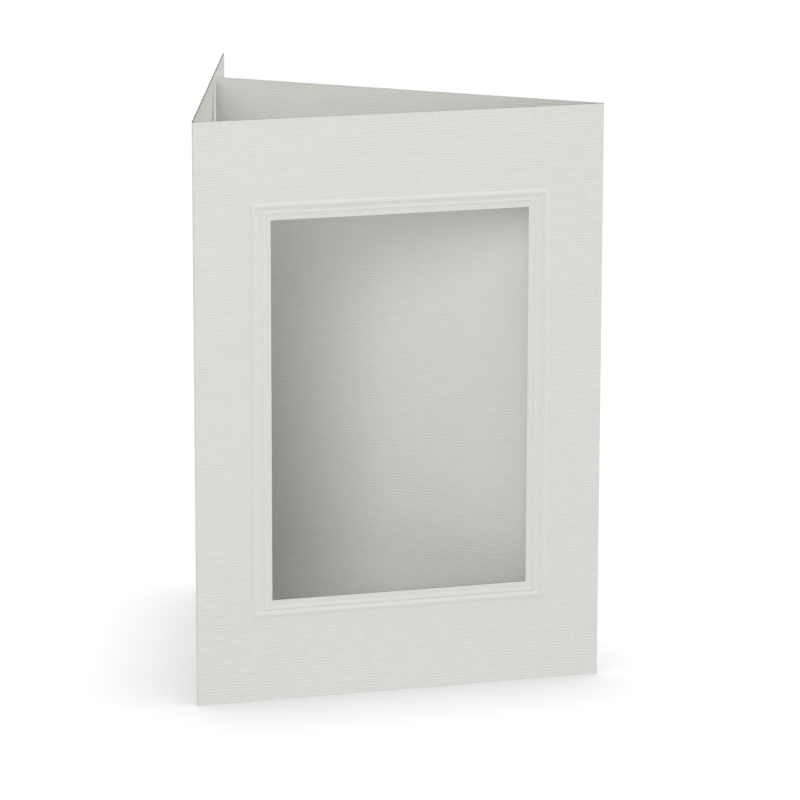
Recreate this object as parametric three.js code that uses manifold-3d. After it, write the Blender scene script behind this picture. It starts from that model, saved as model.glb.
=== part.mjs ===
// A passe-partout greeting card: one sheet of linen-embossed card, creased and folded into three panels.
// The front panel has a window with two raised beads round it. The flap turns back from its left edge and
// covers the back of a photograph when the card is shut. The back panel turns back from its right edge.
// The card stands half open, so that from above its panels make a triangle.
// Millimetres, +Z up. The front panel looks towards -Y, and the origin is the middle of the footprint.

import * as THREE from 'three';
import { mergeVertices } from 'three/addons/utils/BufferGeometryUtils.js';
import Module from 'manifold-3d';

// The sheet
const panelWidth = 120; // front and back panels, measured over the folds
const cardHeight = 169;
const sheetThickness = 0.35;
const flapTrim = 1; // the flap is this much narrower than the front panel, to fold flat behind it

// The folds
const foldInsideRadius = 0.2;
const creaseRise = 0.2; // how far the ridge left by the creasing rule stands out inside the fold
const flapAngle = THREE.MathUtils.degToRad(72.4); // between the front panel and the flap
const restGap = 0.7; // from the back panel's free edge to the flap's inside face

// The window, die-cut in the front panel, a little above its middle
const windowSideMargin = 22.2; // to the front panel's left and right folds
const windowTopMargin = 28.75;
const windowBottomMargin = 29.75;

// The raised beads, embossed from behind, so the sheet keeps its thickness under them: a narrow one next to
// the window and a broad one round it. A reach is measured from the window's cut edge to a bead's crest.
const innerBeadWidth = 1.5;
const innerBeadRise = 0.16;
const innerBeadReach = 2.2;
const innerBeadDrop = 0.18; // the inner bead sits this much lower than the window
const innerBeadCornerRadius = 0.35;
const outerBeadWidth = 2.5;
const outerBeadRise = 0.3;
const outerBeadReachAtSides = 5.1;
const outerBeadReachAtEnds = 4.07;
const outerBeadCornerRadius = 0.5;
const beadSteps = 16; // facets across a bead
const cornerSteps = 4; // facets in a quarter turn of a bead

const foldSteps = 8; // half the facets in a fold

// The card's colour, a warm pearl grey
const cardColour = 0xe0dfdb;
const cardRoughness = 0.85;

const foldRadius = foldInsideRadius + sheetThickness;
const windowWidth = panelWidth - 2 * windowSideMargin;
const windowHeight = cardHeight - windowTopMargin - windowBottomMargin;
const windowCentreX = panelWidth / 2;
const windowCentreZ = windowBottomMargin + windowHeight / 2;

// The angle between the front and back panels, at which the back panel's free edge comes to restGap from
// the flap. The fold axes and that edge make a triangle, which is solved for its third corner.
function anglePastTheBackFold() {
  const axisDistance = panelWidth - 2 * foldRadius;
  const backReach = panelWidth - foldRadius;
  const armLength = Math.hypot(backReach, foldInsideRadius);
  const armTilt = Math.atan2(foldInsideRadius, backReach);
  const flapOffset = axisDistance * Math.sin(flapAngle) + foldInsideRadius - restGap;
  return Math.PI - Math.asin(flapOffset / armLength) - armTilt - flapAngle;
}

// A point of a panel that leaves a fold's axis in direction along: reach from the axis, offset outwards.
function panelPoint(axis, along, outwards, reach, offset) {
  return axis.clone().addScaledVector(along, reach).addScaledVector(outwards, offset);
}

// The sheet seen from above, as the outline of its constant thickness: the flap's free edge and outside,
// the left fold, the front, the right fold, the back panel and then the inside faces on the way back.
function planOutline() {
  const backAngle = anglePastTheBackFold();
  const flapAxis = new THREE.Vector2(foldRadius, foldRadius);
  const backAxis = new THREE.Vector2(panelWidth - foldRadius, foldRadius);
  const alongFlap = new THREE.Vector2(Math.cos(flapAngle), Math.sin(flapAngle));
  const alongBack = new THREE.Vector2(-Math.cos(backAngle), Math.sin(backAngle));
  const flapOutwards = new THREE.Vector2(-alongFlap.y, alongFlap.x);
  const backOutwards = new THREE.Vector2(alongBack.y, -alongBack.x);
  const flapReach = panelWidth - flapTrim - foldRadius;
  const backReach = panelWidth - foldRadius;
  const frontDirection = -Math.PI / 2;

  // The crease ridge is round and centred on the fold's axis. It leaves the inside faces at this angle.
  const ridgeRadius = foldInsideRadius + creaseRise;
  const ridgeStart = Math.asin(foldInsideRadius / ridgeRadius);

  const flapOuterEnd = panelPoint(flapAxis, alongFlap, flapOutwards, flapReach, foldRadius);
  const flapInnerEnd = panelPoint(flapAxis, alongFlap, flapOutwards, flapReach, foldInsideRadius);
  const backOuterEnd = panelPoint(backAxis, alongBack, backOutwards, backReach, foldRadius);
  const backInnerEnd = panelPoint(backAxis, alongBack, backOutwards, backReach, foldInsideRadius);

  const outline = new THREE.Shape();
  outline.moveTo(flapInnerEnd.x, flapInnerEnd.y);
  outline.lineTo(flapOuterEnd.x, flapOuterEnd.y);
  outline.absarc(flapAxis.x, flapAxis.y, foldRadius, flapOutwards.angle(), frontDirection, false);
  outline.absarc(backAxis.x, backAxis.y, foldRadius, frontDirection, backOutwards.angle(), false);
  outline.lineTo(backOuterEnd.x, backOuterEnd.y);
  outline.lineTo(backInnerEnd.x, backInnerEnd.y);
  outline.absarc(
    backAxis.x, backAxis.y, ridgeRadius,
    alongBack.angle() - ridgeStart, Math.PI + ridgeStart, false,
  );
  outline.absarc(
    flapAxis.x, flapAxis.y, ridgeRadius,
    -ridgeStart, flapAngle + ridgeStart, false,
  );
  outline.closePath();
  return outline;
}

function sheetGeometry() {
  return new THREE.ExtrudeGeometry(planOutline(), {
    depth: cardHeight,
    curveSegments: foldSteps,
    bevelEnabled: false,
  });
}

// A block that cuts the window: it reaches a sheet's thickness past both faces of the front panel.
function windowCutter() {
  const cutter = new THREE.BoxGeometry(windowWidth, 3 * sheetThickness, windowHeight);
  return cutter.translate(windowCentreX, sheetThickness / 2, windowCentreZ);
}

// A bead's section: x is the distance outwards from its crest, y the rise above the face. The crown is one
// wave of a cosine, and the root below the face reaches half-way into the sheet.
function beadSection(width, rise) {
  const root = -sheetThickness / 2;
  const section = [new THREE.Vector2(-width / 2, root), new THREE.Vector2(width / 2, root)];
  for (let step = beadSteps; step >= 0; step -= 1) {
    const share = step / beadSteps - 0.5;
    section.push(new THREE.Vector2(width * share, rise * (1 + Math.cos(2 * Math.PI * share)) / 2));
  }
  return section;
}

// A closed frame with the bead's section, round the window on the front panel's outside. Its crest is
// reachAtSides and reachAtEnds from the window. The corners are mitred, with the same small radius from
// foot to foot.
function beadFrame(section, reachAtSides, reachAtEnds, cornerRadius) {
  const positions = [];
  for (const { x: outwards, y: rise } of section) {
    const centreX = windowWidth / 2 + reachAtSides + outwards - cornerRadius;
    const centreY = windowHeight / 2 + reachAtEnds + outwards - cornerRadius;
    for (let corner = 0; corner < 4; corner += 1) {
      const side = Math.sign(Math.cos((corner + 0.5) * Math.PI / 2));
      const end = Math.sign(Math.sin((corner + 0.5) * Math.PI / 2));
      for (let step = 0; step <= cornerSteps; step += 1) {
        const angle = (corner + step / cornerSteps) * Math.PI / 2;
        const x = side * centreX + cornerRadius * Math.cos(angle);
        const y = end * centreY + cornerRadius * Math.sin(angle);
        positions.push(x, y, rise);
      }
    }
  }

  const loopLength = 4 * (cornerSteps + 1);
  const indices = [];
  for (let ring = 0; ring < section.length; ring += 1) {
    const nextRing = (ring + 1) % section.length;
    for (let step = 0; step < loopLength; step += 1) {
      const nextStep = (step + 1) % loopLength;
      const a = ring * loopLength + step;
      const b = ring * loopLength + nextStep;
      const c = nextRing * loopLength + nextStep;
      const d = nextRing * loopLength + step;
      indices.push(a, b, c, a, c, d);
    }
  }

  const frame = new THREE.BufferGeometry();
  frame.setAttribute('position', new THREE.Float32BufferAttribute(positions, 3));
  frame.setIndex(indices);
  frame.rotateX(Math.PI / 2);
  return frame.translate(windowCentreX, 0, windowCentreZ);
}

const wasm = await Module();
wasm.setup();

function toSolid(geometry) {
  const bare = geometry.clone();
  bare.deleteAttribute('normal');
  bare.deleteAttribute('uv');
  const merged = mergeVertices(bare);
  return new wasm.Manifold(new wasm.Mesh({
    numProp: 3,
    vertProperties: new Float32Array(merged.attributes.position.array),
    triVerts: new Uint32Array(merged.index.array),
  }));
}

function toGeometry(solid) {
  const mesh = solid.getMesh();
  const geometry = new THREE.BufferGeometry();
  geometry.setAttribute('position', new THREE.BufferAttribute(mesh.vertProperties, 3));
  geometry.setIndex(new THREE.BufferAttribute(mesh.triVerts, 1));
  geometry.computeVertexNormals();
  return geometry;
}

// Raises a bead on the front panel's outside and sinks the same form into its inside.
function emboss(sheet, frame) {
  const hollow = frame.clone().translate(0, sheetThickness, 0);
  return sheet.add(toSolid(frame)).subtract(toSolid(hollow));
}

function innerBeadFrame() {
  const section = beadSection(innerBeadWidth, innerBeadRise);
  const frame = beadFrame(section, innerBeadReach, innerBeadReach, innerBeadCornerRadius);
  return frame.translate(0, 0, -innerBeadDrop);
}

function outerBeadFrame() {
  const section = beadSection(outerBeadWidth, outerBeadRise);
  return beadFrame(section, outerBeadReachAtSides, outerBeadReachAtEnds, outerBeadCornerRadius);
}

function foldedCardGeometry() {
  const windowed = toSolid(sheetGeometry()).subtract(toSolid(windowCutter()));
  return toGeometry(emboss(emboss(windowed, innerBeadFrame()), outerBeadFrame()));
}

// Moves the geometry so that the middle of its footprint is the origin.
function centreOnFootprint(geometry) {
  geometry.computeBoundingBox();
  const centre = geometry.boundingBox.getCenter(new THREE.Vector3());
  return geometry.translate(-centre.x, -centre.y, -geometry.boundingBox.min.z);
}

const cardStock = new THREE.MeshStandardMaterial({
  color: cardColour,
  roughness: cardRoughness,
  metalness: 0,
});

const foldedCard = new THREE.Mesh(centreOnFootprint(foldedCardGeometry()), cardStock);
foldedCard.name = 'folded_card';

const passePartoutCard = new THREE.Group();
passePartoutCard.add(foldedCard);

export default passePartoutCard;
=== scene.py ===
import math

import bpy
from mathutils import Euler, Matrix, Vector


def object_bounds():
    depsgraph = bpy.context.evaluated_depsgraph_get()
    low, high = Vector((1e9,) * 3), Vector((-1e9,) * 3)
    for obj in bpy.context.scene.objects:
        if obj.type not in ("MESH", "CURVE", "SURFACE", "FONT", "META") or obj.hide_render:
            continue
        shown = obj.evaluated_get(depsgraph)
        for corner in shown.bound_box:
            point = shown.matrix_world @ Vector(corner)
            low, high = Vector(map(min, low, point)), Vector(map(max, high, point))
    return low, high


# A passe-partout card of linen-embossed card stock, standing half open on a pale floor.
# Metres, in the CAD frame: +Z up, the front panel with the window looks towards -Y.

MM = 0.001
WHITE = (1.0, 1.0, 1.0, 1.0)

# The card stock: a warm pearl grey, and a much darker grey on its cut edges
CARD_COLOUR = (0.745, 0.737, 0.708)
CARD_EDGE_COLOUR = (0.17, 0.168, 0.16)
CARD_ROUGHNESS = 0.82
CARD_SPECULAR = 0.25

# The linen emboss, in millimetres: level threads THREAD_PITCH apart that wander and fade in and out, level
# slubs and short upright threads. A share is how much each adds to the height, before EMBOSS_DEPTH scales it.
THREAD_PITCH = 0.854
THREAD_WANDER = 0.9
THREAD_SHARE = 0.5
SLUB_SHARE = 1.5
UPRIGHT_SHARE = 0.9
EMBOSS_DEPTH = 0.058

# How fine each noise is along x, y and z, in grains to the millimetre
WANDER_GRAIN = (0.08, 0.08, 0.25)
PATCH_GRAIN = (0.15, 0.15, 0.4)
SLUB_GRAIN = (0.28, 0.28, 1.15)
UPRIGHT_GRAIN = (1.15, 1.15, 0.4)
CLOUD_GRAIN = (0.35, 0.35, 0.35)

# The card's colour carries painted shade, darker by PAINTED_EMBOSS_SHADE where the emboss is lowest, and
# painted light, lighter by it where the emboss is highest. Its faint clouds change it by CLOUD_SHADE either
# way.
EMBOSS_LOWEST = 0.8
EMBOSS_HIGHEST = 1.8
PAINTED_EMBOSS_SHADE = 0.014
CLOUD_LOWEST = 0.3
CLOUD_HIGHEST = 0.7
CLOUD_SHADE = 0.006

# The flap and the back panel stand at these angles to the front panel. Their free ends look along FLAP_END
# and BACK_END, and a surface looks along a direction when the cosine between the two is over ALIGNED_COSINE.
FLAP_ANGLE = math.radians(72.4)
BACK_ANGLE = math.radians(36.66)
FLAP_END = (math.cos(FLAP_ANGLE), math.sin(FLAP_ANGLE), 0.0)
BACK_END = (-math.cos(BACK_ANGLE), math.sin(BACK_ANGLE), 0.0)
UP = (0.0, 0.0, 1.0)
DOWN = (0.0, 0.0, -1.0)
ALIGNED_COSINE = 0.98

# The camera, from a fit to the photograph's corners
CAMERA_AZIMUTH = math.radians(-15.64)
CAMERA_ELEVATION = math.radians(13.70)
CAMERA_ROLL = math.radians(0.12)
CAMERA_AIM = Vector((15.75, 0.0, 71.86)) * MM
CAMERA_DISTANCE = 1325.4 * MM
CAMERA_LENS = 200.0

# The light: a plain white surrounding and four soft lamps. A brightness of 1 is what a lamp gives that by
# itself lights a white surface, turned to it, to full white.
SURROUND_STRENGTH = 0.30
LAMP_DISTANCE = 1.2
LAMPS = (
    # name, azimuth, elevation, diameter, brightness
    ("front_lamp", math.radians(-29.0), math.radians(23.0), 0.9, 0.42),
    ("side_lamp", math.radians(71.0), math.radians(34.0), 0.6, 0.37),
    ("top_lamp", math.radians(0.0), math.radians(85.0), 0.7, 0.28),
    ("back_lamp", math.radians(180.0), math.radians(50.0), 0.7, 0.12),
)

# The floor. What sees it directly sees FLOOR_SHARE of its light, and a white glow of FLOOR_GLOW that fades
# towards FLOOR_GLOW_IN_PAINTED_SHADOW within CONTACT_SHADOW_REACH of the card, as a painted contact shadow.
FLOOR_SIZE = 6.0
FLOOR_COLOUR = 0.8
FLOOR_SHARE = 0.06
FLOOR_GLOW = 1.0
FLOOR_GLOW_IN_PAINTED_SHADOW = 0.42
CONTACT_SHADOW_REACH = 45.0 * MM


class NodeTree:
    """Adds nodes to one tree and joins them, so that a material reads as a list of steps."""

    def __init__(self, tree):
        self.tree = tree
        self.tree.nodes.clear()

    def add(self, kind, settings=None, inputs=None):
        node = self.tree.nodes.new(kind)
        for name, value in (settings or {}).items():
            setattr(node, name, value)
        for name, value in (inputs or {}).items():
            self.feed(node.inputs[name], value)
        return node

    def feed(self, socket, value):
        if isinstance(value, bpy.types.NodeSocket):
            self.tree.links.new(value, socket)
        else:
            socket.default_value = value

    def math(self, operation, *values):
        inputs = dict(enumerate(values))
        return self.add("ShaderNodeMath", {"operation": operation}, inputs).outputs[0]

    def scaled(self, vector, factor):
        inputs = {0: vector, "Scale": factor}
        return self.add("ShaderNodeVectorMath", {"operation": "SCALE"}, inputs).outputs[0]

    def mapped(self, value, ends, lowest=0.0, highest=1.0):
        """A value from lowest to highest, moved to the range between the two ends."""
        inputs = {
            "Value": value,
            "From Min": lowest,
            "From Max": highest,
            "To Min": ends[0],
            "To Max": ends[1],
        }
        return self.add("ShaderNodeMapRange", None, inputs).outputs[0]

    def stretched_noise(self, position, grain, detail):
        """Noise from 0 to 1, with its own fineness along each axis."""
        mapping = self.add("ShaderNodeMapping", None, {"Vector": position, "Scale": grain})
        noise = self.add(
            "ShaderNodeTexNoise",
            None,
            {"Vector": mapping.outputs[0], "Scale": 1.0, "Detail": detail, "Roughness": 0.5},
        )
        return noise.outputs["Fac"]


def surface_normal(nodes):
    return nodes.add("ShaderNodeNewGeometry").outputs["True Normal"]


def linen_height(nodes, position):
    """The emboss of the card's faces: uneven level threads and slubs, crossed by fainter upright ones."""
    height = nodes.add("ShaderNodeSeparateXYZ", None, {"Vector": position}).outputs["Z"]
    wander = nodes.stretched_noise(position, WANDER_GRAIN, 1.0)
    drift = nodes.math("MULTIPLY", wander, THREAD_WANDER)
    turns = nodes.math("MULTIPLY", nodes.math("ADD", height, drift), 2.0 * math.pi / THREAD_PITCH)
    patches = nodes.stretched_noise(position, PATCH_GRAIN, 1.0)
    threads = nodes.math("MULTIPLY", nodes.math("SINE", turns), patches)
    threads = nodes.math("MULTIPLY", threads, THREAD_SHARE)
    slubs = nodes.stretched_noise(position, SLUB_GRAIN, 2.0)
    slubs = nodes.math("MULTIPLY", slubs, SLUB_SHARE)
    uprights = nodes.stretched_noise(position, UPRIGHT_GRAIN, 2.0)
    uprights = nodes.math("MULTIPLY", uprights, UPRIGHT_SHARE)
    return nodes.math("ADD", threads, nodes.math("ADD", slubs, uprights))


def looks_along(nodes, direction):
    """1 where the surface looks along direction, 0 elsewhere."""
    settings = {"operation": "DOT_PRODUCT"}
    inputs = {0: surface_normal(nodes), 1: direction}
    cosine = nodes.add("ShaderNodeVectorMath", settings, inputs).outputs["Value"]
    return nodes.math("GREATER_THAN", cosine, ALIGNED_COSINE)


def cut_edge_mask(nodes):
    """1 on the sheet's level cut edges and on the free ends of its panels, 0 elsewhere."""
    mask = looks_along(nodes, UP)
    for direction in (DOWN, FLAP_END, BACK_END):
        mask = nodes.math("MAXIMUM", mask, looks_along(nodes, direction))
    return mask


def tone_and_painted_emboss_shade(nodes, position, emboss):
    """How much lighter or darker than CARD_COLOUR the card is at each point: faint random clouds, and painted
    shade and light that follow the emboss's hollows and ridges.
    """
    clouds = nodes.stretched_noise(position, CLOUD_GRAIN, 4.0)
    cloud_ends = (1.0 - CLOUD_SHADE, 1.0 + CLOUD_SHADE)
    clouds = nodes.mapped(clouds, cloud_ends, CLOUD_LOWEST, CLOUD_HIGHEST)
    # Painted shade in the emboss's hollows and painted light on its ridges, on top of the bump
    painted_emboss_shade_ends = (1.0 - PAINTED_EMBOSS_SHADE, 1.0 + PAINTED_EMBOSS_SHADE)
    threads = nodes.mapped(emboss, painted_emboss_shade_ends, EMBOSS_LOWEST, EMBOSS_HIGHEST)
    return nodes.math("MULTIPLY", clouds, threads)


def card_stock_material():
    material = bpy.data.materials.new("card_stock")
    material.use_nodes = True
    nodes = NodeTree(material.node_tree)
    coordinates = nodes.add("ShaderNodeTexCoord").outputs["Object"]
    position = nodes.scaled(coordinates, 1.0 / MM)
    emboss = linen_height(nodes, position)
    face = nodes.scaled(CARD_COLOUR, tone_and_painted_emboss_shade(nodes, position, emboss))
    colour = nodes.add(
        "ShaderNodeMix",
        {"data_type": "RGBA"},
        {"Factor": cut_edge_mask(nodes), 6: face, 7: (*CARD_EDGE_COLOUR, 1.0)},
    ).outputs[2]
    bump = nodes.add(
        "ShaderNodeBump",
        None,
        {"Height": emboss, "Strength": 1.0, "Distance": EMBOSS_DEPTH * MM},
    ).outputs[0]
    surface = nodes.add(
        "ShaderNodeBsdfPrincipled",
        None,
        {
            "Base Color": colour,
            "Roughness": CARD_ROUGHNESS,
            "Specular IOR Level": CARD_SPECULAR,
            "Normal": bump,
        },
    ).outputs[0]
    nodes.add("ShaderNodeOutputMaterial", None, {"Surface": surface})
    return material


def seen_directly(nodes):
    """1 for what the camera, a gloss or a glass sees, 0 for light on its way to a surface."""
    path = nodes.add("ShaderNodeLightPath").outputs
    seen = nodes.math("MAXIMUM", path["Is Camera Ray"], path["Is Glossy Ray"])
    return nodes.math("MAXIMUM", seen, path["Is Transmission Ray"])


def floor_material():
    """A plain pale floor. What sees it directly sees it paler, up to white, other than close to the card,
    where a painted contact shadow dims its glow.
    """
    material = bpy.data.materials.new("floor")
    material.use_nodes = True
    nodes = NodeTree(material.node_tree)
    seen = seen_directly(nodes)
    colour = nodes.mapped(seen, (FLOOR_COLOUR, FLOOR_COLOUR * FLOOR_SHARE))
    diffuse = nodes.add("ShaderNodeBsdfDiffuse", None, {"Color": colour}).outputs[0]
    # Painted contact shadow: the seen glow dims where the card hides the floor from its surroundings
    openness = nodes.add(
        "ShaderNodeAmbientOcclusion", {"samples": 16}, {"Distance": CONTACT_SHADOW_REACH}
    ).outputs["AO"]
    glow_under_painted_shadow = nodes.mapped(openness, (FLOOR_GLOW_IN_PAINTED_SHADOW, FLOOR_GLOW))
    strength = nodes.math("MULTIPLY", glow_under_painted_shadow, seen)
    glow = nodes.add("ShaderNodeEmission", None, {"Color": WHITE, "Strength": strength}).outputs[0]
    surface = nodes.add("ShaderNodeAddShader", None, {0: diffuse, 1: glow}).outputs[0]
    nodes.add("ShaderNodeOutputMaterial", None, {"Surface": surface})
    return material


def make_floor():
    half = FLOOR_SIZE / 2.0
    corners = [(-half, -half, 0.0), (half, -half, 0.0), (half, half, 0.0), (-half, half, 0.0)]
    mesh = bpy.data.meshes.new("floor")
    mesh.from_pydata(corners, [], [(0, 1, 2, 3)])
    floor = bpy.data.objects.new("floor", mesh)
    bpy.context.scene.collection.objects.link(floor)
    mesh.materials.append(floor_material())


def make_surround():
    world = bpy.data.worlds.new("surround")
    world.use_nodes = True
    nodes = NodeTree(world.node_tree)
    strength = nodes.mapped(seen_directly(nodes), (SURROUND_STRENGTH, 1.0))
    background = nodes.add("ShaderNodeBackground", None, {"Color": WHITE, "Strength": strength})
    nodes.add("ShaderNodeOutputWorld", None, {"Surface": background.outputs[0]})
    bpy.context.scene.world = world


def looking_at(target, azimuth, elevation, distance, roll=0.0):
    """The matrix of a camera or lamp at that distance from target. Azimuth 0 looks along +Y."""
    towards = Vector((
        math.sin(azimuth) * math.cos(elevation),
        -math.cos(azimuth) * math.cos(elevation),
        math.sin(elevation),
    ))
    turn = (-towards).to_track_quat("-Z", "Y").to_matrix().to_4x4()
    return Matrix.Translation(target + towards * distance) @ turn @ Euler((0, 0, roll)).to_matrix().to_4x4()


def make_lamp(name, azimuth, elevation, diameter, brightness, target):
    light = bpy.data.lights.new(name, "AREA")
    light.shape = "DISK"
    light.size = diameter
    light.energy = brightness * math.pi ** 2 * LAMP_DISTANCE ** 2
    lamp = bpy.data.objects.new(name, light)
    bpy.context.scene.collection.objects.link(lamp)
    lamp.matrix_world = looking_at(target, azimuth, elevation, LAMP_DISTANCE)


def make_camera():
    lens = bpy.data.cameras.new("camera")
    lens.lens = CAMERA_LENS
    camera = bpy.data.objects.new("camera", lens)
    bpy.context.scene.collection.objects.link(camera)
    camera.matrix_world = looking_at(
        CAMERA_AIM, CAMERA_AZIMUTH, CAMERA_ELEVATION, CAMERA_DISTANCE, CAMERA_ROLL
    )
    bpy.context.scene.camera = camera


def dress_card(card):
    card.data.materials.clear()
    card.data.materials.append(card_stock_material())


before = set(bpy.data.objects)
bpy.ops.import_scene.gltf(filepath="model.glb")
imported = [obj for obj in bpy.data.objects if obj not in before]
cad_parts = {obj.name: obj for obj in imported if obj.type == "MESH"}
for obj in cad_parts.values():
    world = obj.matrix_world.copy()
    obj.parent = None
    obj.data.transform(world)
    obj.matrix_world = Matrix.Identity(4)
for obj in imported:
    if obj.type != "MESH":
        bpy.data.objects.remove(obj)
cad_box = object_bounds()
middle = (cad_box[0] + cad_box[1]) / 2.0

dress_card(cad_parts["folded_card"])
make_floor()
make_surround()
for lamp_settings in LAMPS:
    make_lamp(*lamp_settings, middle)
make_camera()
bpy.context.scene.view_settings.view_transform = "Standard"
